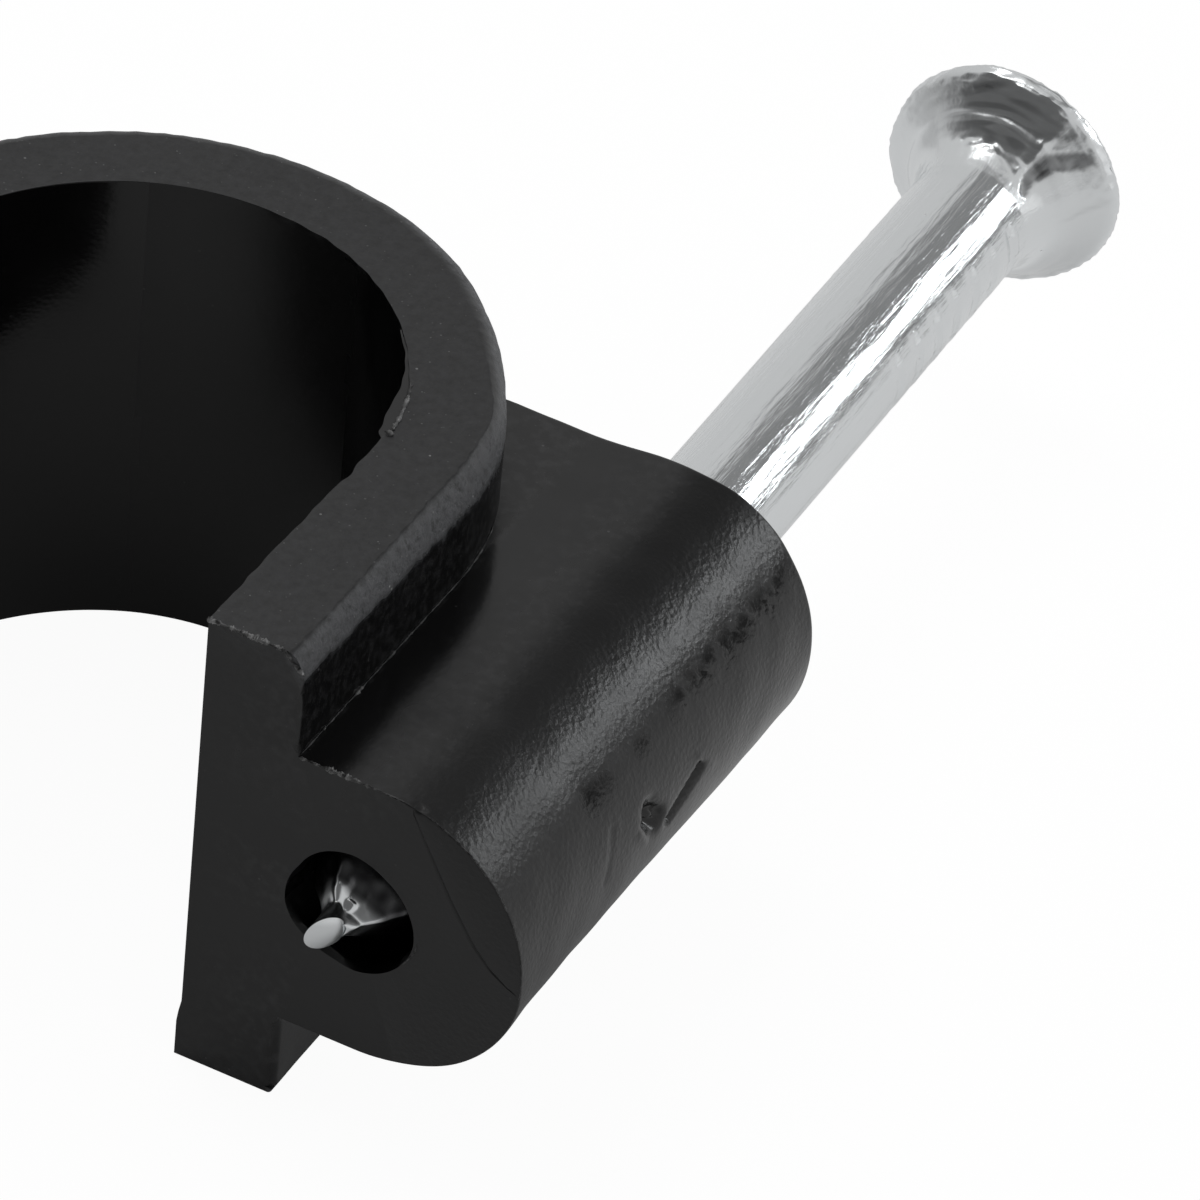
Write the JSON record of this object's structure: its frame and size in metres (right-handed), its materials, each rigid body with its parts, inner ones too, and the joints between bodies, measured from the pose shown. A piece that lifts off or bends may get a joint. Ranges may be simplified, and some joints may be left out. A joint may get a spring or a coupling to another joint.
{
  "type": "nail in cable clip",
  "caption": "Moulded plastic saddle clip for round cable, with a flared-head steel nail set through a barrel on one leg, ready to be driven into a wall.",
  "frame": {"origin": "on the axis of the cable channel, at half the clip's width", "axes": "+Z along the cable, +X from the cable to the nail, +Y away from the wall, towards the nail's head"},
  "size_m": [0.0185, 0.0272, 0.0102],
  "materials": {
    "black_plastic": "black moulded polyethylene, matte with a faint grain",
    "zinc_plated_steel": "bright zinc plate over drawn wire"
  },
  "bodies": {
    "root": {"clip_body": "black_plastic", "nail": "zinc_plated_steel"}
  },
  "joints": []
}
